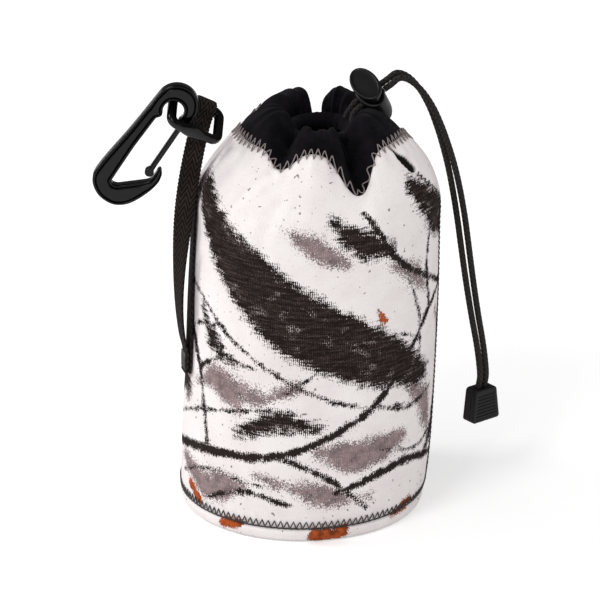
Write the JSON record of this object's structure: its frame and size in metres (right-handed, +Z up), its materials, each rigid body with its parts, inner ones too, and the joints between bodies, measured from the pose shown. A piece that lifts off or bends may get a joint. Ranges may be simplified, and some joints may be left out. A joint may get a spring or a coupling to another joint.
{
  "type": "drawstring lens pouch",
  "caption": "Soft padded tube pouch for a camera lens, with a gathered drawstring collar, cord lock, cord end and a webbing hanger with a snap hook.",
  "frame": {"origin": "centre of the underside of the base, on the floor", "axes": "+Z up through the pouch, +X to the right towards the hanging cord end, +Y away from the viewer; the hanger is on the -X side"},
  "size_m": [0.1846, 0.1142, 0.2072],
  "materials": {
    "pouch_cloth": "printed jersey over foam",
    "collar_knit": "black jersey",
    "cord": "braided black cord",
    "webbing": "herringbone woven tape",
    "hanger_plastic": "semi-gloss black",
    "cord_plastic": "satin black",
    "steel": "drawn wire"
  },
  "bodies": {
    "pouch": {"base_panel": "pouch_cloth", "wall_panel": "pouch_cloth", "collar": "collar_knit", "drawcord_loop": "cord", "drawcord_tail_rear": "cord", "drawcord_tail_front": "cord", "cord_knot": "cord", "cord_end_shell": "cord_plastic", "hanger_webbing": "webbing", "hanger_bar_tack": "webbing"},
    "ring": {"webbing_ring": "hanger_plastic"},
    "hook": {"snap_hook_body": "hanger_plastic", "snap_hook_gate_pin": "steel"},
    "gate": {"snap_hook_gate": "hanger_plastic"},
    "lock": {"cord_lock_barrel": "cord_plastic"},
    "button": {"cord_lock_plunger": "cord_plastic", "cord_lock_spring": "steel"},
    "cord_end_lid": {"cord_end_cover": "cord_plastic"}
  },
  "joints": [
    {"name": "ring_swing", "type": "hinge", "parent": "pouch", "child": "ring", "pos_m": [-0.0438, -0.00771, 0.19221], "axis": [0.8598, 0.1999, -0.4699], "range_deg": [-35, 18]},
    {"name": "hook_swing", "type": "hinge", "parent": "ring", "child": "hook", "pos_m": [-0.0577, -0.018, 0.1956], "axis": [0.0591, 0.875, 0.4805], "range_deg": [-14, 23]},
    {"name": "gate_spring", "type": "hinge", "parent": "hook", "child": "gate", "pos_m": [-0.0526, -0.018, 0.18924], "axis": [0, 1, 0], "range_deg": [0, 20], "stiffness_Nm_per_rad": 0.03, "springref_deg": -5.73},
    {"name": "lock_slide", "type": "slide", "parent": "pouch", "child": "lock", "axis": [0.8079, 0.2833, 0.5168], "range_m": [0, 0.006]},
    {"name": "lock_button", "type": "slide", "parent": "lock", "child": "button", "axis": [0.2717, 0.5993, -0.7531], "range_m": [0, 0.0032], "stiffness_N_per_m": 400, "springref_m": -0.0015, "deforming": ["cord_lock_spring"]},
    {"name": "cord_end_hinge", "type": "hinge", "parent": "pouch", "child": "cord_end_lid", "pos_m": [0.083, 0.009, 0.0335], "axis": [0.7771, 0.6293, 0], "range_deg": [0, 100]}
  ]
}
